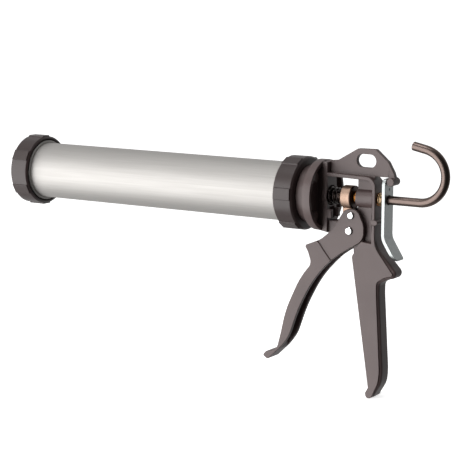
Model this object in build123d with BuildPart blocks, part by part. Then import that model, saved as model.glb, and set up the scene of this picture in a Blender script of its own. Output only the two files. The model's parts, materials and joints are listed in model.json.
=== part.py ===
"""Sausage caulking gun: a turning aluminium barrel on a die-cast pistol handle.

Millimetres. The push rod runs along X through the origin, which is the centre of
the front face of the handle casting's round head. The gun points to -X, +Z is up,
and Y = 0 is the casting's plane of symmetry. The plunger is at its forward stop.
"""

import os
from math import atan2, cos, degrees, radians, sin

from build123d import *

# ---------------------------------------------------------------- driving sizes
# Fits and small clearances
run_fit = 0.1            # radial clearance of a shaft that turns or slides
thread_fit = 0.05        # radial gap between a plain thread and its nut or collar
face_gap = 0.1           # axial gap between faces that turn on each other
side_gap = 0.2           # gap each side of the trigger on its pivot boss
contact_gap = 0.3        # gap left where one moving part pushes another

# Push rod and plunger
rod_r = 4.0
hook_r = 23.6            # centre-line radius of the pull hook
hook_turn = 168.0        # degrees of bend
hook_tail = 12.8
hook_start_x = 100.2
nut_across_flats = 13.0
nut_len = 6.5
washer_r = 12.0
washer_len = 1.6
cup_face = 2.0
cup_skirt = 8.0
cup_wall = 1.5
plunger_len = 10.0
rod_tip_reach = 1.0      # thread showing past the front nut

# Barrel
tube_r = 27.0
tube_wall = 1.3
tube_visible = 281.0     # bare tube between the two caps
cap_side = 3.9           # wall of the caps over the collar
cap_rib_height = 0.8
cap_rib_deg = 18.0
cap_rib_count = 6
cap_rib_deg_front = 30.0  # where the first rib stands, from +Y
cap_rib_deg_rear = 56.0
cap_chamfer = 1.6
front_cap_len = 21.0
rear_cap_len = 20.0
cap_wall = 4.0           # front wall of the front cap, rear lip of the rear cap
nozzle_hole_r = 16.0
nozzle_flange = 2.5      # room for a nozzle's flange between tube and front cap
collar_wall = 2.4        # threaded ring on each end of the tube
collar_show = 0.6        # collar showing past the cap that screws on it
collar_chamfer = 0.5
cup_clearance = 0.2      # wiper cup in the tube's bore
plunger_clearance = 1.6

# Head of the casting and the swivel that holds the barrel
head_inset = 1.4         # head's rim inside the caps' outline
head_len = 8.0
head_web = 3.0
head_rim = 3.5
shoulder_len = 9.8
spigot_inset = 5.0       # spigot inside the tube's outside radius
keeper_lap = 3.5         # plate that keeps the rear cap on the spigot
keeper_len = 2.5
screw_pcd_r = 18.0
screw_count = 4
screw_r = 2.0
screw_head_r = 3.6
screw_head_len = 2.4
screw_len = 14.0
head_boss_r = 4.6
head_boss_angle = 45.0

# Casting: widths (half, across Y), rib thickness and the window round the rod
frame_half_w = 8.75
web_half_w = 2.4
arm_half_w = 5.3
rib = 3.0
wall_x = 13.0            # rear face of the window's front wall
wall_top_z = 30.6
wall_bottom_z = -21.5
window_rear_x = 40.5
spine_x = 60.6           # rear face of the spine
rib_top_z = 21.5
rib_fall = 1.6           # drop of the top rib from front to rear
rib_corner_r = 9.0
arm_top_z = -22.0
step_x = 17.0            # rear face of the thick foot of the front wall
step_top_z = -11.8
step_bottom_z = -19.5
seat_r = 9.2             # recess for the main spring
seat_depth = 5.0
seat_rim = 1.2
sleeve_r = 8.2
bush_wall = 1.6
bush_proud = 3.2
slot_len = 19.0
slot_width = 11.8
slot_x = 48.4
slot_z = 33.4
bead_z = -20.0           # cross bead that stops the release lever
bead_r = 2.3
bead_x = 61.3
bead_half_w = 9.2

# Trigger and its two pins
pivot_x = 35.1
pivot_z = -29.4
pivot_r = 3.4
drive_arm = 14.0         # centre distance of the two pins
drive_lean = 6.5         # degrees the drive pin leans back at rest
drive_pin_r = 3.1
trigger_swing = 25.0
cheek_wall = 2.6
cheek_round_r = 14.4
pivot_clear = 0.6        # room round the trigger's rear round, in the handle
grip_extra = 1.0         # grip stands this much wider than the cheeks, each side
trigger_wall = 2.8
pin_proud = 1.6
pin_chamfer = 0.6
clip_lip = 1.6           # clip standing out past its pin
clip_len = 0.8
clip_groove = 0.6
clip_mouth = 1.6         # clip's mouth, in radii of the groove's floor

# Drive catch and its spring
catch_r = 10.4
catch_x = 25.9
catch_len = 9.6
catch_washer_len = 1.5
catch_chamfer = 0.9
tongue_half_w = 4.0
tongue_front_x = 26.4
tongue_bottom_z = -19.0
spring_wire = 1.5
spring_r_front = 7.9
spring_r_rear = 6.3
spring_turns = 4.5

# Release lever
lever_x = 67.0           # front face
lever_t = 3.2
lever_half_w = 8.2
lever_top_z = 19.4
lever_knee_z = -34.0
lever_kick_deg = 32.0
lever_kick_len = 21.0
lever_bend_r = 14.0
lever_hole_gap = 0.5     # lets the lever tilt on the rod
lever_dimple_z = 9.6
lever_dimple_r = 1.0
fulcrum_r = 3.6
fulcrum_z = 16.6
fulcrum_half_w = 6.4
release_wire = 1.0
release_coil_gap = 1.4   # coil's wire centre outside the rod
release_turns = 3.5

# Handle
handle_wall = 4.2
channel_rib = 2.0
channel_rib_z = (-86.0, -122.0)
lug_z = 20.2             # under side of the hang plate, over the release lever
panel_proud = 1.1        # side panels of the grip stand this far out of its back
back_edge_r = 2.6
grip_margin = 8.0        # edges further back than this belong to the back
toe_z = -168.0
grip_top_z = -41.0
curve_top_z = -31.0      # where the spine's straight back ends and the tang's curve begins
grip_front_x = 38.0      # front edge at the grip's top
grip_rake = 0.162        # how far the front edge moves back per mm of drop

# ---------------------------------------------------------------- worked out
tube_bore_r = tube_r - tube_wall
collar_r = tube_r + collar_wall
cap_r = collar_r + run_fit + cap_side                # between the ribs
head_r = cap_r - head_inset
shoulder_r = tube_r - face_gap * 10
spigot_r = tube_r - spigot_inset
keeper_r = spigot_r + keeper_lap
rear_cap_x = -(shoulder_len + face_gap * 2)          # rear face of the rear cap
rear_cap_front_x = rear_cap_x - rear_cap_len
front_cap_x = rear_cap_front_x - tube_visible        # rear rim of the front cap
front_cap_front_x = front_cap_x - front_cap_len
spigot_x = rear_cap_x - cap_wall - face_gap          # front face of the spigot
keeper_x = spigot_x - keeper_len
tube_rear_x = keeper_x - face_gap * 5
tube_front_x = front_cap_front_x + cap_wall + nozzle_flange
cap_bore_r = collar_r + run_fit

rod_tip_x = tube_front_x + nozzle_flange
nut_front_x = rod_tip_x + rod_tip_reach
nut_rear_x = nut_front_x + nut_len
front_washer_x = nut_rear_x + face_gap
cup_x = front_washer_x + washer_len
plunger_x = cup_x + cup_face
rear_washer_x = plunger_x + plunger_len
lock_nut_x = rear_washer_x + washer_len + face_gap
plunger_stroke = keeper_x - face_gap * 10 - (lock_nut_x + nut_len)

drive_x = pivot_x + drive_arm * sin(radians(drive_lean))
drive_z = pivot_z + drive_arm * cos(radians(drive_lean))
catch_travel = drive_arm * (sin(radians(drive_lean)) + sin(radians(trigger_swing - drive_lean)))
tongue_rear_x = drive_x - drive_pin_r - contact_gap
catch_rear_x = catch_x + catch_len
cheek_inner = arm_half_w + side_gap
cheek_outer = cheek_inner + cheek_wall
grip_outer = cheek_outer + grip_extra
back_half_w = frame_half_w - panel_proud
pivot_clear_r = cheek_round_r + pivot_clear
bush_r = rod_r + run_fit + bush_wall
sleeve_x = window_rear_x
bush_x = sleeve_x - bush_proud
lever_rear_x = lever_x + lever_t
lever_hole_r = rod_r + lever_hole_gap
release_coil_r = rod_r + release_coil_gap
fulcrum_x = lever_rear_x + contact_gap + fulcrum_r
release_len = lever_x - spine_x
lever_kick_x = lever_kick_len * sin(radians(lever_kick_deg))
lever_foot_z = lever_knee_z - lever_kick_len * cos(radians(lever_kick_deg))

parts = []


def finish(piece, name):
    """Label one finished piece and keep it for export."""
    piece.label = name
    parts.append(piece)


def side_plane(y=0.0):
    """Side view of the gun: sketch x is +X and sketch y is +Z."""
    return Plane(origin=(0, y, 0), x_dir=(1, 0, 0), z_dir=(0, -1, 0))


def cross_plane(x):
    """Looking along the rod: sketch x is +Y, sketch y is +Z, extrudes to +X."""
    return Plane(origin=(x, 0, 0), x_dir=(0, 1, 0), z_dir=(1, 0, 0))


def on_grip_back(edge):
    """True for an edge along the back of the grip, between its top and its toe."""
    middle = edge.center()
    front_x = grip_front_x + (grip_top_z - middle.Z) * grip_rake
    return (abs(abs(middle.Y) - back_half_w) < thread_fit and middle.X > front_x + grip_margin
            and toe_z < middle.Z < grip_top_z)


def shell_of_cap(profile, ribs_x, ribs_len, first_deg, name):
    """Turned cap with flat-topped grip ribs round it."""
    with BuildPart() as cap:
        with BuildSketch(side_plane()):
            with BuildLine():
                Polyline(*profile, close=True)
            make_face()
        revolve(axis=Axis.X)
        with BuildSketch(cross_plane(ribs_x)):
            with PolarLocations(cap_r, cap_rib_count, start_angle=first_deg):
                Rectangle(cap_rib_height * 2, cap_r * 2 * sin(radians(cap_rib_deg / 2)))
        extrude(amount=ribs_len)
    finish(cap.part, name)


def turned_ring(x, length, outer, inner, name, edge=0.0):
    """Plain ring on the rod axis, with its outer edges chamfered if edge is given."""
    with BuildPart() as ring:
        with BuildSketch(cross_plane(x)):
            Circle(outer)
            Circle(inner, mode=Mode.SUBTRACT)
        extrude(amount=length)
        if edge:
            rims = ring.edges().filter_by(GeomType.CIRCLE).sort_by(SortBy.RADIUS)[-2:]
            chamfer(rims, edge)
    finish(ring.part, name)


def hex_nut(x, name):
    """Hexagon nut on the rod's thread."""
    with BuildPart() as nut:
        with BuildSketch(cross_plane(x)):
            RegularPolygon(nut_across_flats / 2, 6, major_radius=False)
            Circle(rod_r + thread_fit, mode=Mode.SUBTRACT)
        extrude(amount=nut_len)
    finish(nut.part, name)


def conical_spring(x, length, wire, r_front, r_rear, turns, name):
    """Coil spring on the rod axis that closes from one radius to another."""
    height = length - wire
    cone = degrees(atan2(r_rear - r_front, height))
    with BuildPart() as coil:
        with BuildLine():
            path = Helix(height / turns, height, r_front, center=(x + wire / 2, 0, 0),
                         direction=(1, 0, 0), cone_angle=cone)
        with BuildSketch(Plane(origin=path @ 0, z_dir=path % 0)):
            Circle(wire / 2)
        sweep(path=path, is_frenet=True)
    finish(coil.part, name)


def round_pin(x, z, radius, reach, name, groove_y):
    """Cross pin along Y with domed ends and a groove for its clip at one end."""
    with BuildPart() as pin:
        with BuildSketch(Plane(origin=(x, -reach, z), x_dir=(1, 0, 0), z_dir=(0, 1, 0))):
            Circle(radius)
        extrude(amount=reach * 2)
        chamfer(pin.edges().filter_by(GeomType.CIRCLE), pin_chamfer)
        with BuildSketch(Plane(origin=(x, groove_y, z), x_dir=(1, 0, 0), z_dir=(0, 1, 0))):
            Circle(radius + pin_chamfer)
            Circle(radius - clip_groove, mode=Mode.SUBTRACT)
        extrude(amount=clip_len, mode=Mode.SUBTRACT)
    finish(pin.part, name)


def e_clip(x, z, radius, groove_y, name):
    """Spring clip pushed into a pin's groove from below."""
    with BuildPart() as clip:
        with BuildSketch(Plane(origin=(x, groove_y + face_gap / 2, z), x_dir=(1, 0, 0), z_dir=(0, 1, 0))):
            Circle(radius + clip_lip)
            Circle(radius - clip_groove + thread_fit, mode=Mode.SUBTRACT)
            with Locations((0, radius)):
                Rectangle((radius - clip_groove) * clip_mouth, radius * 2, mode=Mode.SUBTRACT)
        extrude(amount=clip_len - face_gap)
    finish(clip.part, name)


# ---------------------------------------------------------------- barrel
front_rim = cap_r - cap_chamfer
shell_of_cap(
    [(front_cap_front_x, nozzle_hole_r), (front_cap_front_x, front_rim),
     (front_cap_front_x + cap_chamfer, cap_r), (front_cap_x - cap_chamfer, cap_r),
     (front_cap_x, front_rim), (front_cap_x, cap_bore_r + cap_chamfer),
     (front_cap_x - cap_chamfer, cap_bore_r), (front_cap_front_x + cap_wall, cap_bore_r),
     (front_cap_front_x + cap_wall, nozzle_hole_r)],
    front_cap_front_x + cap_chamfer, front_cap_len - cap_chamfer * 2, cap_rib_deg_front,
    "front_cap")
shell_of_cap(
    [(rear_cap_front_x, cap_bore_r), (rear_cap_front_x, front_rim),
     (rear_cap_front_x + cap_chamfer, cap_r), (rear_cap_x - cap_chamfer, cap_r),
     (rear_cap_x, front_rim), (rear_cap_x, spigot_r + run_fit),
     (rear_cap_x - cap_wall, spigot_r + run_fit), (rear_cap_x - cap_wall, cap_bore_r)],
    rear_cap_front_x + cap_chamfer, rear_cap_len - cap_chamfer * 2, cap_rib_deg_rear,
    "rear_cap")
turned_ring(tube_front_x, tube_rear_x - tube_front_x, tube_r, tube_bore_r, "barrel_tube")
turned_ring(tube_front_x, front_cap_x + collar_show - tube_front_x, collar_r,
            tube_r + thread_fit, "front_collar", collar_chamfer)
turned_ring(rear_cap_front_x - collar_show, tube_rear_x - rear_cap_front_x + collar_show,
            collar_r, tube_r + thread_fit, "rear_collar", collar_chamfer)

# ---------------------------------------------------------------- swivel keeper
with BuildPart() as keeper_plate:
    with BuildSketch(cross_plane(keeper_x)):
        Circle(keeper_r)
        Circle(rod_r + run_fit * 3, mode=Mode.SUBTRACT)
        with PolarLocations(screw_pcd_r, screw_count, start_angle=head_boss_angle):
            Circle(screw_r + thread_fit, mode=Mode.SUBTRACT)
    extrude(amount=keeper_len)
finish(keeper_plate.part, "keeper_plate")

with BuildPart() as keeper_screws:
    with BuildSketch(cross_plane(keeper_x)):
        with PolarLocations(screw_pcd_r, screw_count, start_angle=head_boss_angle):
            Circle(screw_r)
    extrude(amount=screw_len)
    with BuildSketch(cross_plane(keeper_x)):
        with PolarLocations(screw_pcd_r, screw_count, start_angle=head_boss_angle):
            Circle(screw_head_r)
    extrude(amount=-screw_head_len)
    with BuildSketch(cross_plane(keeper_x - screw_head_len)):
        with PolarLocations(screw_pcd_r, screw_count, start_angle=head_boss_angle):
            RegularPolygon(screw_r * 0.75, 6)
    extrude(amount=screw_head_len / 2, mode=Mode.SUBTRACT)
finish(keeper_screws.part, "keeper_screws")

# ---------------------------------------------------------------- handle casting
# Handle grip: front edge, toe that hooks forward, back, and the tang under the web of
# the thumb.
handle_outline = [
    (45.0, -37.6), (43.4, -45.0), (38.3, -51.5), (56.6, -169.5), (53.6, -174.6), (55.0, -180.0),
    (61.0, -177.6), (68.6, -165.0), (69.7, -154.0), (65.2, -84.0), (65.4, -74.0),
    (73.5, -69.8), (85.6, -66.8), (spine_x, -40.5), (spine_x, curve_top_z),
    (spine_x - rib, curve_top_z), (spine_x - rib, -39.0),
]
handle_radii = [0, 0, 5.0, 1.2, 1.6, 2.6, 3.0, 20.0, 60.0, 60.0, 5.0, 14.0, 4.8, 20.0, 0, 0, 0]
# Edge of the side panels, which follows the back a little way in from it
panel_line = [(30.0, -20.0), (spine_x, -20.0), (spine_x, -41.0), (80.2, -65.6), (71.6, -67.8),
              (63.4, -73.0), (63.4, -84.0), (67.7, -154.0), (66.4, -164.4), (57.0, -185.0), (30.0, -185.0)]
panel_radii = [0, 0, 20.0, 1.6, 10.0, 5.0, 40.0, 40.0, 20.0, 0, 0]
with BuildPart() as grip_casting:
    with BuildSketch(side_plane()):
        with BuildLine():
            FilletPolyline(*handle_outline, radius=handle_radii, close=True)
        make_face()
    extrude(amount=back_half_w, both=True)
    fillet(grip_casting.edges().filter_by(on_grip_back), back_edge_r)
    # Finger-side channel with two stiffening ribs across it
    with BuildSketch(side_plane()):
        with BuildLine():
            Polyline((30.0, -47.5), (59.2, -47.5), (60.4, -84.0), (64.2, -148.0),
                     (62.6, -158.0), (46.0, -158.0), close=True)
        make_face()
        for rib_z in channel_rib_z:
            with Locations((spine_x - handle_wall * 2, rib_z)):
                Rectangle(spine_x, channel_rib, mode=Mode.SUBTRACT)
    extrude(amount=frame_half_w - handle_wall, both=True, mode=Mode.SUBTRACT)
    # Side panels that stand a little proud of the rounded back
    with BuildSketch(side_plane()) as panel:
        with BuildLine():
            FilletPolyline(*handle_outline, radius=handle_radii, close=True)
        make_face()
        with BuildLine():
            FilletPolyline(*panel_line, radius=panel_radii, close=True)
        make_face(mode=Mode.INTERSECT)
    for side in (-1, 1):
        with BuildSketch(side_plane(side * (frame_half_w - handle_wall))):
            add(panel.sketch_local)
        extrude(amount=-side * handle_wall)
    # Room for the trigger's round to turn in
    with BuildSketch(side_plane()):
        with Locations((pivot_x, pivot_z)):
            Circle(pivot_clear_r)
    extrude(amount=frame_half_w * 2, both=True, mode=Mode.SUBTRACT)

with BuildPart() as frame:
    # Round head: a dished disc, and the shoulder and spigot that the rear cap turns on
    with BuildSketch(cross_plane(0)):
        Circle(head_r)
    extrude(amount=head_len)
    with BuildSketch(cross_plane(head_web)):
        Circle(head_r - head_rim)
    extrude(amount=head_len, mode=Mode.SUBTRACT)
    with BuildSketch(cross_plane(0)):
        Circle(shoulder_r)
    extrude(amount=-shoulder_len)
    with BuildSketch(cross_plane(0)):
        Circle(spigot_r)
    extrude(amount=spigot_x)
    with BuildSketch(cross_plane(head_web)):
        with PolarLocations(head_r - head_rim - head_boss_r * 0.8, screw_count, start_angle=head_boss_angle):
            Circle(head_boss_r)
    extrude(amount=head_len - head_web - rib / 2)
    # Front wall of the window, its thick foot, and the arm that carries the trigger
    with BuildSketch(side_plane()):
        with BuildLine():
            Polyline((0, wall_bottom_z - head_len), (0, wall_top_z), (wall_x, wall_top_z),
                     (wall_x, step_top_z), (wall_x, wall_bottom_z - head_len - rib), close=True)
        make_face()
    extrude(amount=frame_half_w, both=True)
    with BuildSketch(side_plane()):
        with BuildLine():
            Polyline((0, step_bottom_z), (0, step_top_z), (step_x, step_top_z),
                     (step_x, step_bottom_z), close=True)
        make_face()
    extrude(amount=frame_half_w, both=True)
    with BuildSketch(side_plane()):
        with BuildLine():
            Polyline((0, arm_top_z), (window_rear_x + rib * 2, arm_top_z),
                     (window_rear_x + rib * 3, -51.5), (39.2, -51.5), (38.0, -44.5),
                     (wall_x, -33.4), (0, -31.0), close=True)
        make_face()
    extrude(amount=arm_half_w, both=True)
    # Middle web: hang plate, spine web and the lug behind the release lever
    with BuildSketch(side_plane()):
        with BuildLine():
            FilletPolyline((head_web, rib_top_z - rib), (head_web, wall_top_z), (20.0, 32.4), (39.8, 43.9),
                           (57.6, 44.2), (70.0, 33.8), (75.4, 24.4), (fulcrum_x + fulcrum_r, fulcrum_z),
                           (lever_rear_x + contact_gap, fulcrum_z), (lever_rear_x + contact_gap, lug_z),
                           (spine_x - rib, lug_z), (spine_x - rib, -41.0), (window_rear_x, -41.0),
                           (window_rear_x, rib_top_z - rib),
                           radius=[0, 0, 6, 3, 3, 6, 10, 0, 0, 0, 0, 0, 0, 0], close=True)
        make_face()
        with Locations((slot_x, slot_z)):
            SlotOverall(slot_len, slot_width, mode=Mode.SUBTRACT)
    extrude(amount=web_half_w, both=True)
    with BuildSketch(side_plane()):
        with Locations((fulcrum_x, fulcrum_z)):
            Circle(fulcrum_r)
    extrude(amount=fulcrum_half_w, both=True)
    # Top rib and spine, one band that turns the corner
    with BuildSketch(side_plane()):
        with BuildLine():
            outer = FilletPolyline((head_web, rib_top_z), (spine_x, rib_top_z - rib_fall),
                                   (spine_x, -41.0), radius=rib_corner_r)
            inner = FilletPolyline((head_web, rib_top_z - rib), (spine_x - rib, rib_top_z - rib_fall - rib),
                                   (spine_x - rib, -41.0), radius=rib_corner_r - rib)
            Line(outer @ 0, inner @ 0)
            Line(outer @ 1, inner @ 1)
        make_face()
    extrude(amount=frame_half_w, both=True)
    with BuildSketch(side_plane()):
        with Locations((bead_x - bead_r / 2, bead_z)):
            SlotOverall(bead_r * 3, bead_r * 2)
    extrude(amount=bead_half_w, both=True)
    # Sleeve for the rod's bush, and the recess that seats the main spring
    with BuildSketch(cross_plane(sleeve_x)):
        Circle(sleeve_r)
    extrude(amount=spine_x - sleeve_x)
    with BuildSketch(cross_plane(wall_x)):
        Circle(seat_r + seat_rim)
    extrude(amount=-seat_depth)
    with BuildSketch(cross_plane(wall_x - seat_depth)):
        Circle(seat_r)
    extrude(amount=seat_depth, mode=Mode.SUBTRACT)
    with BuildSketch(side_plane()):
        with BuildLine():
            Polyline((wall_x - rib, tongue_bottom_z - rib / 2), (wall_x - rib, step_top_z + rib / 2),
                     (step_x + rib, step_top_z + rib / 2), (step_x + rib, tongue_bottom_z - rib / 2),
                     close=True)
        make_face()
    extrude(amount=tongue_half_w + side_gap * 3, both=True, mode=Mode.SUBTRACT)
    add(grip_casting.part)
    # Bores: rod, bush, keeper screws and pivot pin
    with BuildSketch(cross_plane(spigot_x)):
        Circle(rod_r + run_fit)
    extrude(amount=wall_x - spigot_x, mode=Mode.SUBTRACT)
    with BuildSketch(cross_plane(sleeve_x)):
        Circle(bush_r + thread_fit)
    extrude(amount=spine_x - sleeve_x, mode=Mode.SUBTRACT)
    with BuildSketch(cross_plane(spigot_x)):
        with PolarLocations(screw_pcd_r, screw_count, start_angle=head_boss_angle):
            Circle(screw_r + thread_fit)
    extrude(amount=screw_len - keeper_len + rib / 2, mode=Mode.SUBTRACT)
    with BuildSketch(side_plane()):
        with Locations((pivot_x, pivot_z)):
            Circle(pivot_r + thread_fit)
    extrude(amount=arm_half_w * 2, both=True, mode=Mode.SUBTRACT)
finish(frame.part, "handle_casting")

turned_ring(bush_x, spine_x - bush_x, bush_r, rod_r + run_fit, "rod_bush")

# ---------------------------------------------------------------- trigger
trigger_front = [(-38.5, -147.0), (-34.2, -131.0), (-29.0, -108.0), (-14.0, -76.0), (-2.4, -62.5),
                 (-6.2, -51.8), (-9.6, -46.2), (6.0, -39.8)]
trigger_front_radii = [9.0, 60.0, 100.0, 85.0, 8.0, 5.0, 1.8, 25.0]
trigger_back = [(18.0, -30.0), (30.2, -10.8), (39.4, -9.4), (44.2, -12.2), (49.5, -23.5), (49.5, -36.6),
                (39.6, -42.9), (21.0, -54.0), (0.0, -76.0), (-15.5, -105.0), (-25.4, -133.0),
                (-34.0, -144.0), (-48.0, -157.2), (-53.2, -153.6), (-49.8, -149.6)]
trigger_back_radii = [25.0, 6.2, 7.0, 8.0, 14.0, 11.5, 9.0, 90.0, 110.0, 150.0, 40.0, 40.0, 2.6, 1.6, 3.0]
# Line between the flat cheeks and the wider grip
grip_line = [(-30.0, -33.0), (1.0, -38.0), (5.6, -43.4), (11.0, -50.4), (17.5, -58.0), (12.0, -80.0),
             (-10.0, -170.0), (-70.0, -170.0)]
# Points behind the trigger's back, past which its hollow is open
hollow_back = [(9.0, -4.0), (60.0, -4.0), (60.0, -46.0), (26.0, -62.0), (8.0, -80.0), (-8.0, -108.0),
               (-18.0, -138.0), (-30.0, -146.0)]
with BuildPart() as trigger:
    with BuildSketch(side_plane()) as trigger_side:
        with BuildLine():
            FilletPolyline(*trigger_front, *trigger_back,
                           radius=trigger_front_radii + trigger_back_radii, close=True)
        make_face()
    extrude(amount=cheek_outer, both=True)
    with BuildSketch(side_plane()):
        add(trigger_side.sketch_local)
        with BuildLine():
            Polyline(*grip_line, close=True)
        make_face(mode=Mode.INTERSECT)
    extrude(amount=grip_outer, both=True)
    # Hollow from the back, so that the front wall and two cheeks are left
    with BuildLine() as front_line:
        FilletPolyline(*trigger_front, radius=trigger_front_radii[1:-1])
    with BuildSketch(side_plane()):
        with BuildLine():
            inside = offset(front_line.wire(), amount=trigger_wall, side=Side.RIGHT, closed=False,
                            mode=Mode.PRIVATE)
            add(inside)
            Polyline(inside @ 1, *hollow_back, inside @ 0)
        make_face()
    extrude(amount=cheek_inner, both=True, mode=Mode.SUBTRACT)
    for x, z, radius in ((pivot_x, pivot_z, pivot_r + run_fit), (drive_x, drive_z, drive_pin_r + thread_fit)):
        with BuildSketch(side_plane()):
            with Locations((x, z)):
                Circle(radius)
        extrude(amount=grip_outer, both=True, mode=Mode.SUBTRACT)
finish(trigger.part, "trigger")

pin_reach = cheek_outer + pin_proud
clip_y = cheek_outer + side_gap / 2
round_pin(pivot_x, pivot_z, pivot_r, pin_reach, "pivot_pin", clip_y)
round_pin(drive_x, drive_z, drive_pin_r, pin_reach, "drive_pin", clip_y)
e_clip(pivot_x, pivot_z, pivot_r, clip_y, "pivot_pin_clip")
e_clip(drive_x, drive_z, drive_pin_r, clip_y, "drive_pin_clip")

# ---------------------------------------------------------------- drive catch
with BuildPart() as drive_catch:
    with BuildSketch(cross_plane(catch_x)):
        Circle(catch_r)
    extrude(amount=catch_len)
    chamfer(drive_catch.edges().filter_by(GeomType.CIRCLE).group_by(Axis.X)[0], catch_chamfer)
    with BuildSketch(side_plane()):
        with BuildLine():
            Polyline((tongue_front_x, 0), (tongue_front_x, tongue_bottom_z),
                     (tongue_rear_x, tongue_bottom_z), (tongue_rear_x, -catch_r - contact_gap),
                     (catch_rear_x, -catch_r - contact_gap), (catch_rear_x, 0), close=True)
        make_face()
    extrude(amount=tongue_half_w, both=True)
    with BuildSketch(cross_plane(catch_x)):
        Circle(rod_r + run_fit)
    extrude(amount=catch_len, mode=Mode.SUBTRACT)
finish(drive_catch.part, "drive_catch")
turned_ring(catch_rear_x, catch_washer_len, catch_r, rod_r + run_fit * 2, "catch_washer", clip_groove)
conical_spring(wall_x - seat_depth, catch_x - wall_x + seat_depth, spring_wire, spring_r_front,
               spring_r_rear, spring_turns, "main_spring")

# ---------------------------------------------------------------- release lever
with BuildPart() as release_lever:
    with BuildSketch(side_plane()):
        with BuildLine():
            middle_x = lever_x + lever_t / 2
            middle = FilletPolyline((middle_x, lever_top_z - lever_t / 2), (middle_x, lever_knee_z),
                                    (middle_x + lever_kick_x, lever_foot_z), radius=lever_bend_r)
            offset(middle, amount=lever_t / 2, side=Side.BOTH)
        make_face()
    extrude(amount=lever_half_w, both=True)
    # Seen from behind: rounded thumb end, small corners at the top
    with BuildSketch(cross_plane(lever_x)):
        with Locations((0, (lever_top_z + lever_foot_z) / 2)):
            plate = Rectangle(lever_half_w * 2, lever_top_z - lever_foot_z + lever_t)
        fillet(plate.vertices().sort_by(Axis.Z)[:2], lever_half_w - contact_gap)
    extrude(amount=lever_t + lever_kick_len, mode=Mode.INTERSECT)
    with BuildSketch(cross_plane(lever_x)):
        Circle(lever_hole_r)
    extrude(amount=lever_t, mode=Mode.SUBTRACT)
    with BuildSketch(cross_plane(lever_rear_x - lever_dimple_r / 2)):
        with Locations((0, lever_dimple_z)):
            Circle(lever_dimple_r)
    extrude(amount=lever_t, mode=Mode.SUBTRACT)
finish(release_lever.part, "release_lever")
conical_spring(spine_x, release_len, release_wire, release_coil_r, release_coil_r, release_turns,
               "release_spring")

# ---------------------------------------------------------------- push rod and plunger
with BuildPart() as push_rod:
    with BuildLine() as rod_line:
        straight = Line((rod_tip_x, 0, 0), (hook_start_x, 0, 0))
        with BuildLine(side_plane()):
            bend = CenterArc((hook_start_x, hook_r), hook_r, -90, hook_turn)
            Line(bend @ 1, (bend @ 1) + (bend % 1) * hook_tail)
    with BuildSketch(cross_plane(rod_tip_x)):
        Circle(rod_r)
    sweep(path=rod_line.wire())
    chamfer(push_rod.edges().filter_by(GeomType.CIRCLE).filter_by(
        lambda edge: edge.center().X < nut_front_x or edge.center().Z > hook_r), pin_chamfer)
finish(push_rod.part, "push_rod")
hex_nut(nut_front_x, "plunger_nut")
hex_nut(lock_nut_x, "lock_nut")
turned_ring(front_washer_x, washer_len, washer_r, rod_r + run_fit, "front_washer")
turned_ring(rear_washer_x, washer_len, washer_r, rod_r + run_fit, "rear_washer")
turned_ring(plunger_x, plunger_len, tube_bore_r - plunger_clearance - cup_wall, rod_r + run_fit,
            "plunger_disc", clip_groove)
with BuildPart() as plunger_cup:
    cup_r = tube_bore_r - cup_clearance
    with BuildSketch(side_plane()):
        with BuildLine():
            Polyline((cup_x, rod_r + run_fit), (cup_x, cup_r - cup_wall), (cup_x + cup_face, cup_r),
                     (cup_x + cup_skirt, cup_r), (cup_x + cup_skirt, cup_r - cup_wall),
                     (cup_x + cup_face, cup_r - cup_wall), (cup_x + cup_face, rod_r + run_fit), close=True)
        make_face()
    revolve(axis=Axis.X)
finish(plunger_cup.part, "plunger_cup")

os.makedirs("parts", exist_ok=True)
for piece in parts:
    export_step(piece, f"parts/{piece.label}.step")
    print(piece.label, round(piece.volume, 1), len(piece.solids()))
print("plunger stroke", round(plunger_stroke, 3), "catch travel", round(catch_travel, 3),
      "drive pin", round(drive_x, 3), round(drive_z, 3), "fulcrum", round(fulcrum_x, 3))
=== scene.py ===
# %% [markdown]
# # A sausage-pack caulking gun
# This file is a lesson in cells. It takes a caulking gun that was drawn in CAD, rounds
# its edges, gives it coiled springs, paints each part with the finish
# it has in life, and lights it like a product on a pale table. Sizes are in metres.
# The push rod runs along X, the gun points to -X, and Z is up.

import json
from math import cos, pi, radians, sin, sqrt

import bmesh
import bpy
from mathutils import Matrix, Vector


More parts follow.
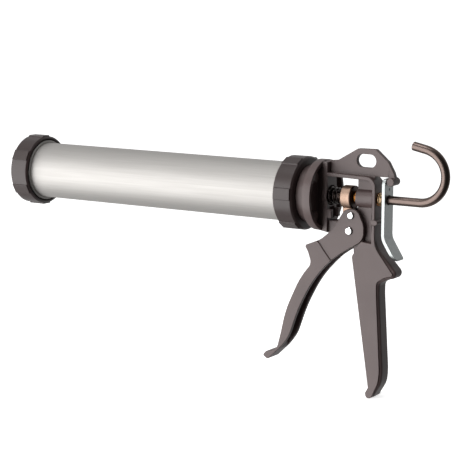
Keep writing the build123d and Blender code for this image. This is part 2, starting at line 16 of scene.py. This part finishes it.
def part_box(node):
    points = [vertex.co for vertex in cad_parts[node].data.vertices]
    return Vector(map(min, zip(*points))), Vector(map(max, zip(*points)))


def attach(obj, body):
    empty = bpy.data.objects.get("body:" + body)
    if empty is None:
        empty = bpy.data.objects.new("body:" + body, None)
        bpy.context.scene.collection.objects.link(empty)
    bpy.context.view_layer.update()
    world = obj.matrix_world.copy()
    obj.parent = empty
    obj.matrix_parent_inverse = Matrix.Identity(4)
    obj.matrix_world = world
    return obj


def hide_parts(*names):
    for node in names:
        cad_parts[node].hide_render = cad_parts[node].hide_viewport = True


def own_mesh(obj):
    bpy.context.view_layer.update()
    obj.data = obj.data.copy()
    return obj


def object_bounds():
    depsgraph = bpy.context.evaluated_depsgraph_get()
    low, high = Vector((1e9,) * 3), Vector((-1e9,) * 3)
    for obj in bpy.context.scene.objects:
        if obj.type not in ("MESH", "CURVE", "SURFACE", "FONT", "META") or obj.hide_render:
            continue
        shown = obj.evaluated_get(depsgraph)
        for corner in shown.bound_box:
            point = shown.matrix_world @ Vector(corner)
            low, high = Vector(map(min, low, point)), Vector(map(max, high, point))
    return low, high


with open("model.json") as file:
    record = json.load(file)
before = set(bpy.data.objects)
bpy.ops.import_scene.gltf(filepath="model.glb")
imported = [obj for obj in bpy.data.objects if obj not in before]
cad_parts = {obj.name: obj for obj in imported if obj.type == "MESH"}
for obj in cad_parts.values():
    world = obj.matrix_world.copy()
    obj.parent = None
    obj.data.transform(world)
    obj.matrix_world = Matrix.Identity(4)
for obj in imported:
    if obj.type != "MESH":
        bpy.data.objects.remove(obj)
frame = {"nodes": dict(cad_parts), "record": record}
nodes = frame["nodes"]
cad_box = [list(corner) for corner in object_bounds()]
print("parts in the frame:", len(nodes))

# %% [markdown]
# ## Units
# Workshop sizes are easiest to read in millimetres, so one small value turns them into
# metres. A pattern's scale is the number of its features per metre.

# %% Millimetres
mm = 0.001


def per_metre(size_mm):
    """Texture scale at which one feature is size_mm across."""
    return 1.0 / (size_mm * mm)


low, high = [Vector(corner) for corner in cad_box]
print("gun, mm:", [round((b - a) / mm, 1) for a, b in zip(low, high)])

# %% [markdown]
# ## Camera
# A long lens from about one and a half metres keeps the barrel's far end nearly as
# large as its near end, as a product picture does. The camera stands behind the gun on
# its left, a little above it. Its direction is worked out from two angles, so that both
# can be read and changed.

# %% Set the camera
camera_place = Vector((0.7088, -1.2646, 0.2075))
camera_turn = radians(32.44)
camera_drop = radians(9.40)
camera_roll = radians(0.14)
focal_length = 127.24
camera_data = bpy.data.cameras.new("camera")
camera_data.lens = focal_length
camera_data.sensor_width = 36.0
camera_data.clip_end = 50.0
camera = bpy.data.objects.new("camera", camera_data)
looking = Vector((-sin(camera_turn) * cos(camera_drop), cos(camera_turn) * cos(camera_drop),
                  -sin(camera_drop)))
camera.rotation_mode = "QUATERNION"
level = looking.to_track_quat("-Z", "Y")
camera.rotation_quaternion = level @ Matrix.Rotation(camera_roll, 3, "Z").to_quaternion()
camera.location = camera_place
bpy.context.scene.collection.objects.link(camera)
bpy.context.scene.camera = camera
print("camera to origin, m:", round(camera_place.length, 3))

# %% [markdown]
# ## Colour and nodes
# Colours are written as the hex values that a paint program shows. Blender works in
# linear light, so one function turns them. A second function adds a shader node with
# its settings and its links, and every material below is built with it.

# %% Helpers for materials
def linear(hex_colour):
    """Linear RGBA of an sRGB hex colour."""
    channels = [int(hex_colour[i:i + 2], 16) / 255 for i in (1, 3, 5)]
    return [c / 12.92 if c <= 0.04045 else ((c + 0.055) / 1.055) ** 2.4 for c in channels] + [1.0]


def add(tree, kind, inputs=None, **settings):
    """A new node, with its settings, and its inputs set to values or linked from sockets."""
    made = tree.nodes.new(kind)
    for name, value in settings.items():
        setattr(made, name, value)
    for name, value in (inputs or {}).items():
        if isinstance(value, bpy.types.NodeSocket):
            tree.links.new(value, made.inputs[name])
        else:
            made.inputs[name].default_value = value
    return made


def new_material(name):
    """An empty material, its tree, its output and the object's own coordinates."""
    material = bpy.data.materials.new(name)
    material.use_nodes = True
    tree = material.node_tree
    tree.nodes.clear()
    output = add(tree, "ShaderNodeOutputMaterial")
    place = add(tree, "ShaderNodeTexCoord").outputs["Object"]
    return material, tree, output, place


print("white in linear light:", linear("#ffffff"))

# %% [markdown]
# ## Black powder coat
# The handle and trigger are pressure-cast aluminium under a satin epoxy powder coat.
# The powder melts into a skin with a faint orange peel a millimetre or so across. It is
# a warm black, nearly brown where light rakes along it. Slow noise moves the colour a
# little, as the thickness of the coat does, and fast noise makes the peel.

# %% Powder coat
cloud_mm = 28


def powder_coat(name, thin, thick, low_rough, high_rough, peel_mm):
    material, tree, output, place = new_material(name)
    cloud = add(tree, "ShaderNodeTexNoise",
                {"Vector": place, "Scale": per_metre(cloud_mm), "Detail": 3.0})
    colour = add(tree, "ShaderNodeMix", {"Factor": cloud.outputs["Fac"], "A": linear(thin),
                                         "B": linear(thick)}, data_type="RGBA")
    peel = add(tree, "ShaderNodeTexNoise",
               {"Vector": place, "Scale": per_metre(peel_mm), "Detail": 2.0})
    rough = add(tree, "ShaderNodeMapRange", {"Value": cloud.outputs["Fac"], "To Min": low_rough,
                                             "To Max": high_rough})
    bump = add(tree, "ShaderNodeBump", {"Height": peel.outputs["Fac"], "Strength": 0.25,
                                        "Distance": 0.06 * mm})
    shader = add(tree, "ShaderNodeBsdfPrincipled",
                 {"Base Color": colour.outputs["Result"], "Roughness": rough.outputs["Result"],
                  "Normal": bump.outputs["Normal"], "IOR": 1.5})
    tree.links.new(shader.outputs["BSDF"], output.inputs["Surface"])
    return material


satin_black_powder_coat = powder_coat("satin_black_powder_coat", "#5c4d4b", "#4f4140",
                                      0.38, 0.46, 0.9)
print("powder coat has", len(satin_black_powder_coat.node_tree.nodes), "nodes")

# %% [markdown]
# ## Moulded nylon
# The two caps and the plunger disc are injection-moulded nylon with short glass fibre.
# The mould is spark-eroded, so the skin has a fine even grain, and it is a shade
# glossier than the powder coat. The grain is drawn at 0.7 mm, coarser than the real
# 0.1 mm, because finer would not show.

# %% Nylon
moulded_glass_nylon = powder_coat("moulded_glass_nylon", "#3c302f", "#332827", 0.33, 0.42, 0.7)
print("nylon made")

# %% [markdown]
# ## Drawn and plated metal
# The other finishes are bare or plated metal. They differ in colour, in how rough they
# are, and in the way the marks of making run: along a drawn tube or rod, or all ways on
# a plated pressing. One function stretches its noise along a direction, and mixes two
# tones of the metal by it. Metals keep Blender's usual IOR.

# %% Metal with marks
def marked_metal(name, light, dark, low_rough, high_rough, mark_mm, stretch=(1, 1, 1),
                 depth_mm=0.01):
    material, tree, output, place = new_material(name)
    along = add(tree, "ShaderNodeMapping", {"Vector": place, "Scale": stretch})
    marks = add(tree, "ShaderNodeTexNoise", {"Vector": along.outputs["Vector"],
                                             "Scale": per_metre(mark_mm),
                                             "Detail": 4.0, "Roughness": 0.6})
    colour = add(tree, "ShaderNodeMix", {"Factor": marks.outputs["Fac"], "A": linear(light),
                                         "B": linear(dark)}, data_type="RGBA")
    rough = add(tree, "ShaderNodeMapRange", {"Value": marks.outputs["Fac"], "To Min": low_rough,
                                             "To Max": high_rough})
    bump = add(tree, "ShaderNodeBump", {"Height": marks.outputs["Fac"], "Strength": 0.2,
                                        "Distance": depth_mm * mm})
    shader = add(tree, "ShaderNodeBsdfPrincipled",
                 {"Base Color": colour.outputs["Result"], "Roughness": rough.outputs["Result"],
                  "Normal": bump.outputs["Normal"], "Metallic": 1.0})
    tree.links.new(shader.outputs["BSDF"], output.inputs["Surface"])
    return material


# Extruded 6063 tube, etched and clear anodised: a soft white-grey satin with hair lines
# along its length.
satin_anodised_aluminium = marked_metal("satin_anodised_aluminium", "#c0bebb", "#b1aeab",
                                        0.58, 0.66, 1.2, (0.02, 1, 1))
# Pressed steel, barrel-plated with bright zinc: cool, nearly white, with a cloudy bloom.
bright_zinc_plate = marked_metal("bright_zinc_plate", "#b6bab9", "#9ca1a0", 0.34, 0.46, 2.5)
# Ground and polished pin steel, its colour pushed near white as a painted reflection of the white
# room on the pin ends: the brightest metal on the gun.
pin_steel_painted_reflection = marked_metal("pin_steel_painted_reflection", "#f2f3f3", "#e2e4e4", 0.16, 0.24, 0.8)
# Spring wire with a yellow chromate over its zinc: gold, straying towards rose.
yellow_chromate_wire = marked_metal("yellow_chromate_wire", "#ead0a4", "#c9a27c", 0.24, 0.34, 2.0)
# Sintered bronze, pressed from powder and soaked in oil: rosy tan, with dark pores.
sintered_bronze = marked_metal("sintered_bronze", "#c4ab9a", "#a1826f", 0.45, 0.58, 0.8,
                               depth_mm=0.03)
# Bearing bronze of the rod's bush, polished by the rod: redder than the sintered bronze, and its
# colour made brighter as a painted orange glint.
bearing_bronze_painted_glint = marked_metal("bearing_bronze_painted_glint", "#e39a4c", "#bf7430", 0.20, 0.32, 1.0)
# Hardened steel, blued and oiled: near black with a brown cast.
oil_blued_steel = marked_metal("oil_blued_steel", "#4a3833", "#2f2422", 0.28, 0.38, 1.5)
# Drawn steel rod, black-oxided over its drawing lines: bronze-brown where it shines.
black_oxide_rod = marked_metal("black_oxide_rod", "#766863", "#5c504b", 0.26, 0.36, 0.6,
                               (0.05, 1, 1))
# Spring wire, drawn and oil-tempered: black with a thin hard shine.
oil_tempered_wire = marked_metal("oil_tempered_wire", "#4a4341", "#332d2c", 0.22, 0.32, 1.0)
print("metals:", len(bpy.data.materials))

# %% [markdown]
# ## Polyethylene
# The wiper cup in front of the plunger disc is natural polyethylene: milky, waxy and a
# little translucent. Light spreads under its skin, so it gets some subsurface, with the
# scatter radius of a soft plastic.

# %% Wiper plastic
natural_polyethylene, tree, output, place = new_material("natural_polyethylene")
milk = add(tree, "ShaderNodeTexNoise", {"Vector": place, "Scale": per_metre(6), "Detail": 2.0})
milk_colour = add(tree, "ShaderNodeMix", {"Factor": milk.outputs["Fac"], "A": linear("#eeebe2"),
                                          "B": linear("#e2ded2")}, data_type="RGBA")
milk_rough = add(tree, "ShaderNodeMapRange",
                 {"Value": milk.outputs["Fac"], "To Min": 0.38, "To Max": 0.5})
wax = add(tree, "ShaderNodeBsdfPrincipled",
          {"Base Color": milk_colour.outputs["Result"], "Roughness": milk_rough.outputs["Result"],
           "IOR": 1.51, "Subsurface Weight": 0.2, "Subsurface Scale": 2 * mm})
tree.links.new(wax.outputs["BSDF"], output.inputs["Surface"])
print("wiper plastic made")

# %% [markdown]
# ## Which part has which finish
# The finish of each part is a plain table. Parts that keep their CAD shape get it at
# once, and pieces made below take it from the same table.

# %% Paint the parts
finishes = {
    "handle_casting": satin_black_powder_coat, "trigger": satin_black_powder_coat,
    "front_cap": moulded_glass_nylon, "rear_cap": moulded_glass_nylon,
    "plunger_disc": moulded_glass_nylon, "plunger_cup": natural_polyethylene,
    "barrel_tube": satin_anodised_aluminium, "front_collar": satin_anodised_aluminium,
    "rear_collar": satin_anodised_aluminium, "release_lever": bright_zinc_plate,
    "keeper_plate": bright_zinc_plate, "keeper_screws": bright_zinc_plate,
    "pivot_pin_clip": bright_zinc_plate, "drive_pin_clip": bright_zinc_plate,
    "plunger_nut": bright_zinc_plate, "lock_nut": bright_zinc_plate,
    "front_washer": bright_zinc_plate, "rear_washer": bright_zinc_plate,
    "pivot_pin": pin_steel_painted_reflection, "drive_pin": pin_steel_painted_reflection,
    "rod_bush": bearing_bronze_painted_glint, "drive_catch": sintered_bronze,
    "catch_washer": oil_blued_steel, "push_rod": black_oxide_rod,
    "main_spring": oil_tempered_wire, "release_spring": yellow_chromate_wire,
}
for name, finish in finishes.items():
    part = nodes[name]
    if part.material_slots:
        part.material_slots[0].material = finish
    else:
        part.data.materials.append(finish)
print("painted", len(finishes), "parts; without:", sorted(set(nodes) - set(finishes)))

# %% [markdown]
# ## Edges that catch the light
# No cast, moulded, turned or pressed edge is truly sharp. A copy of each such part is
# merged into one skin, and a bevel rounds every sharp edge by the radius that its making
# leaves. Its normals are then weighted by face area, which keeps the flats looking flat.
# The rounded copy stands for the CAD part.

# %% Round the edges
bodies = frame["record"]["behaviour"]["bodies"]
body_of_node = {name: body for body, names in bodies.items() for name in names}
sharp_edge = radians(32)
shading_edge = radians(35)
merge_distance = 0.001 * mm
flat_weight = 80


def show(mesh, name, finish, body):
    """Make a mesh a smooth-shaded piece that rides on a body."""
    mesh.materials.clear()
    mesh.materials.append(finish)
    piece = bpy.data.objects.new(name, mesh)
    bpy.context.scene.collection.objects.link(piece)
    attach(piece, body)
    return piece


def rounded(node, radius):
    """A copy of a CAD part with its sharp edges rounded, which stands for it."""
    skin = bmesh.new()
    skin.from_mesh(nodes[node].data)
    bmesh.ops.remove_doubles(skin, verts=skin.verts, dist=merge_distance)
    edges = [e for e in skin.edges
             if len(e.link_faces) == 2 and e.calc_face_angle(0) > sharp_edge]
    bmesh.ops.bevel(skin, geom=edges, offset=radius, offset_type="OFFSET", affect="EDGES",
                    segments=2, profile=0.5, material=-1, clamp_overlap=False,
                    loop_slide=False)
    for face in skin.faces:
        face.smooth = True
    mesh = bpy.data.meshes.new(node + "_rounded")
    skin.to_mesh(mesh)
    skin.free()
    mesh.set_sharp_from_angle(angle=shading_edge)
    piece = show(mesh, node + "_rounded", finishes[node], body_of_node[node])
    flats = piece.modifiers.new("true_flats", "WEIGHTED_NORMAL")
    flats.keep_sharp = True
    flats.weight = flat_weight
    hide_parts(node)
    print(node, "rounded edges", len(edges), "faces", len(mesh.polygons))


edge_radii = {"handle_casting": 0.45 * mm, "trigger": 0.5 * mm, "front_cap": 0.35 * mm,
              "rear_cap": 0.35 * mm, "front_collar": 0.4 * mm, "drive_catch": 0.3 * mm,
              "release_lever": 0.35 * mm}
for name, radius in edge_radii.items():
    rounded(name, radius)

# %% [markdown]
# ## Springs
# A coil spring is a wire carried round an axis while it moves along it, which is just
# what Blender's spin does when it is given a step as well. The main spring also closes
# in towards the catch, so its points are then drawn in, more the further back they are.
# Each spring then gets a mesh of its own.

# %% Coil the springs
steps_per_turn = 28
wire_sides = 12


def coil(node, wire, front_r, rear_r, turns):
    """A coil of wire that fills a CAD spring's length and stands for it."""
    start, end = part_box(node)
    length = end.x - start.x - wire
    steps = int(turns * steps_per_turn)
    work = bmesh.new()
    ring = bmesh.ops.create_circle(work, segments=wire_sides, radius=wire / 2,
                                   matrix=Matrix.Translation((start.x + wire / 2, front_r, 0)))
    bmesh.ops.spin(work, geom=ring["verts"] + list(work.edges), cent=(0, 0, 0), axis=(1, 0, 0),
                   dvec=(length / steps, 0, 0), angle=2 * pi * turns, steps=steps, use_merge=False)
    bmesh.ops.holes_fill(work, edges=[e for e in work.edges if e.is_boundary])
    bmesh.ops.recalc_face_normals(work, faces=work.faces)
    for vert in work.verts:
        away = sqrt(vert.co.y ** 2 + vert.co.z ** 2)
        along = (vert.co.x - start.x - wire / 2) / length
        vert.co.yz = vert.co.yz * (away - (front_r - rear_r) * along) / away
    for face in work.faces:
        face.smooth = len(face.verts) == 4
    mesh = bpy.data.meshes.new(node + "_coil")
    work.to_mesh(mesh)
    work.free()
    piece = show(mesh, node + "_coil", finishes[node], body_of_node[node])
    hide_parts(node)
    print(node, "turns", turns, "faces", len(mesh.polygons))
    return piece


main_coil = coil("main_spring", 1.5 * mm, 7.9 * mm, 6.3 * mm, 4.5)
release_coil = coil("release_spring", 1.0 * mm, 5.4 * mm, 5.4 * mm, 3.5)

for piece, node, joint, kept in ((main_coil, "main_spring", "catch_slide", 0.66),
                                 (release_coil, "release_spring", "lever_tilt", 0.80)):
    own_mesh(piece)

# %% [markdown]
# ## Floor and light
# The gun stands in a white studio: a pale paper floor that runs out of sight, a very
# large soft light low in front of it on its left, a small one overhead, and a white room.
# Satin metal shows the room, so the room does most of the work. The paper glows a little
# by itself, and is left out of reflections and shadows, so that the room alone shows in
# the metal.

# %% Floor
floor_size = 60.0
paper, tree, output, place = new_material("matt_studio_paper")
fibre = add(tree, "ShaderNodeTexNoise", {"Vector": place, "Scale": per_metre(40), "Detail": 3.0})
tone = add(tree, "ShaderNodeMix", {"Factor": fibre.outputs["Fac"], "A": linear("#fbfbfb"),
                                   "B": linear("#f8f8f8")}, data_type="RGBA")
matt = add(tree, "ShaderNodeBsdfPrincipled",
           {"Base Color": tone.outputs["Result"], "Roughness": 0.9, "Specular IOR Level": 0.1,
            "Emission Color": linear("#ffffff"), "Emission Strength": 0.75})
tree.links.new(matt.outputs["BSDF"], output.inputs["Surface"])
work = bmesh.new()
bmesh.ops.create_grid(work, x_segments=1, y_segments=1, size=floor_size,
                      matrix=Matrix.Translation((0, 0, low.z)))
floor_mesh = bpy.data.meshes.new("floor")
work.to_mesh(floor_mesh)
work.free()
floor_mesh.materials.append(paper)
floor = bpy.data.objects.new("floor", floor_mesh)
bpy.context.scene.collection.objects.link(floor)
floor.visible_diffuse = False
floor.visible_glossy = False
floor.visible_shadow = False
print("floor at z, mm:", round(low.z / mm, 1))

# %% Lights
def softbox(name, place, aim, size, power):
    """A square soft light at a place, turned to face an aim."""
    lamp = bpy.data.lights.new(name, "AREA")
    lamp.shape = "SQUARE"
    lamp.size = size
    lamp.energy = power
    light = bpy.data.objects.new(name, lamp)
    light.location = place
    light.rotation_mode = "QUATERNION"
    light.rotation_quaternion = (Vector(aim) - Vector(place)).to_track_quat("-Z", "Y")
    bpy.context.scene.collection.objects.link(light)


softbox("softbox_side", (-1.2, -1.6, -0.2), (-0.05, 0, 0), 3.0, 76)
softbox("softbox_over", (-0.3, -0.5, 1.5), (-0.1, 0, 0), 0.6, 6)

# The white room is one function of the direction in which it is seen. Its walls are
# bright in front of the gun and on its far side, and it falls dark behind the gun on the
# near side, where the studio is open, so that the black finish has a dark side to show.
dark_from = Vector((0.86, -0.51, 0.0)).normalized()
world = bpy.data.worlds.new("white_room")
world.use_nodes = True
room = world.node_tree
room.nodes.clear()
seen = add(room, "ShaderNodeTexCoord").outputs["Generated"]
facing = add(room, "ShaderNodeVectorMath", {0: seen, 1: dark_from}, operation="DOT_PRODUCT")
glow = add(room, "ShaderNodeMapRange",
           {"Value": facing.outputs["Value"], "From Min": -0.35, "From Max": 0.75,
            "To Min": 0.62, "To Max": 0.05}, interpolation_type="SMOOTHSTEP")
walls = add(room, "ShaderNodeBackground",
            {"Color": (1, 1, 1, 1), "Strength": glow.outputs["Result"]})
add(room, "ShaderNodeOutputWorld", {"Surface": walls.outputs["Background"]})
bpy.context.scene.world = world
bpy.context.scene.view_settings.view_transform = "Standard"

# %% End of the scene
print("scene built")
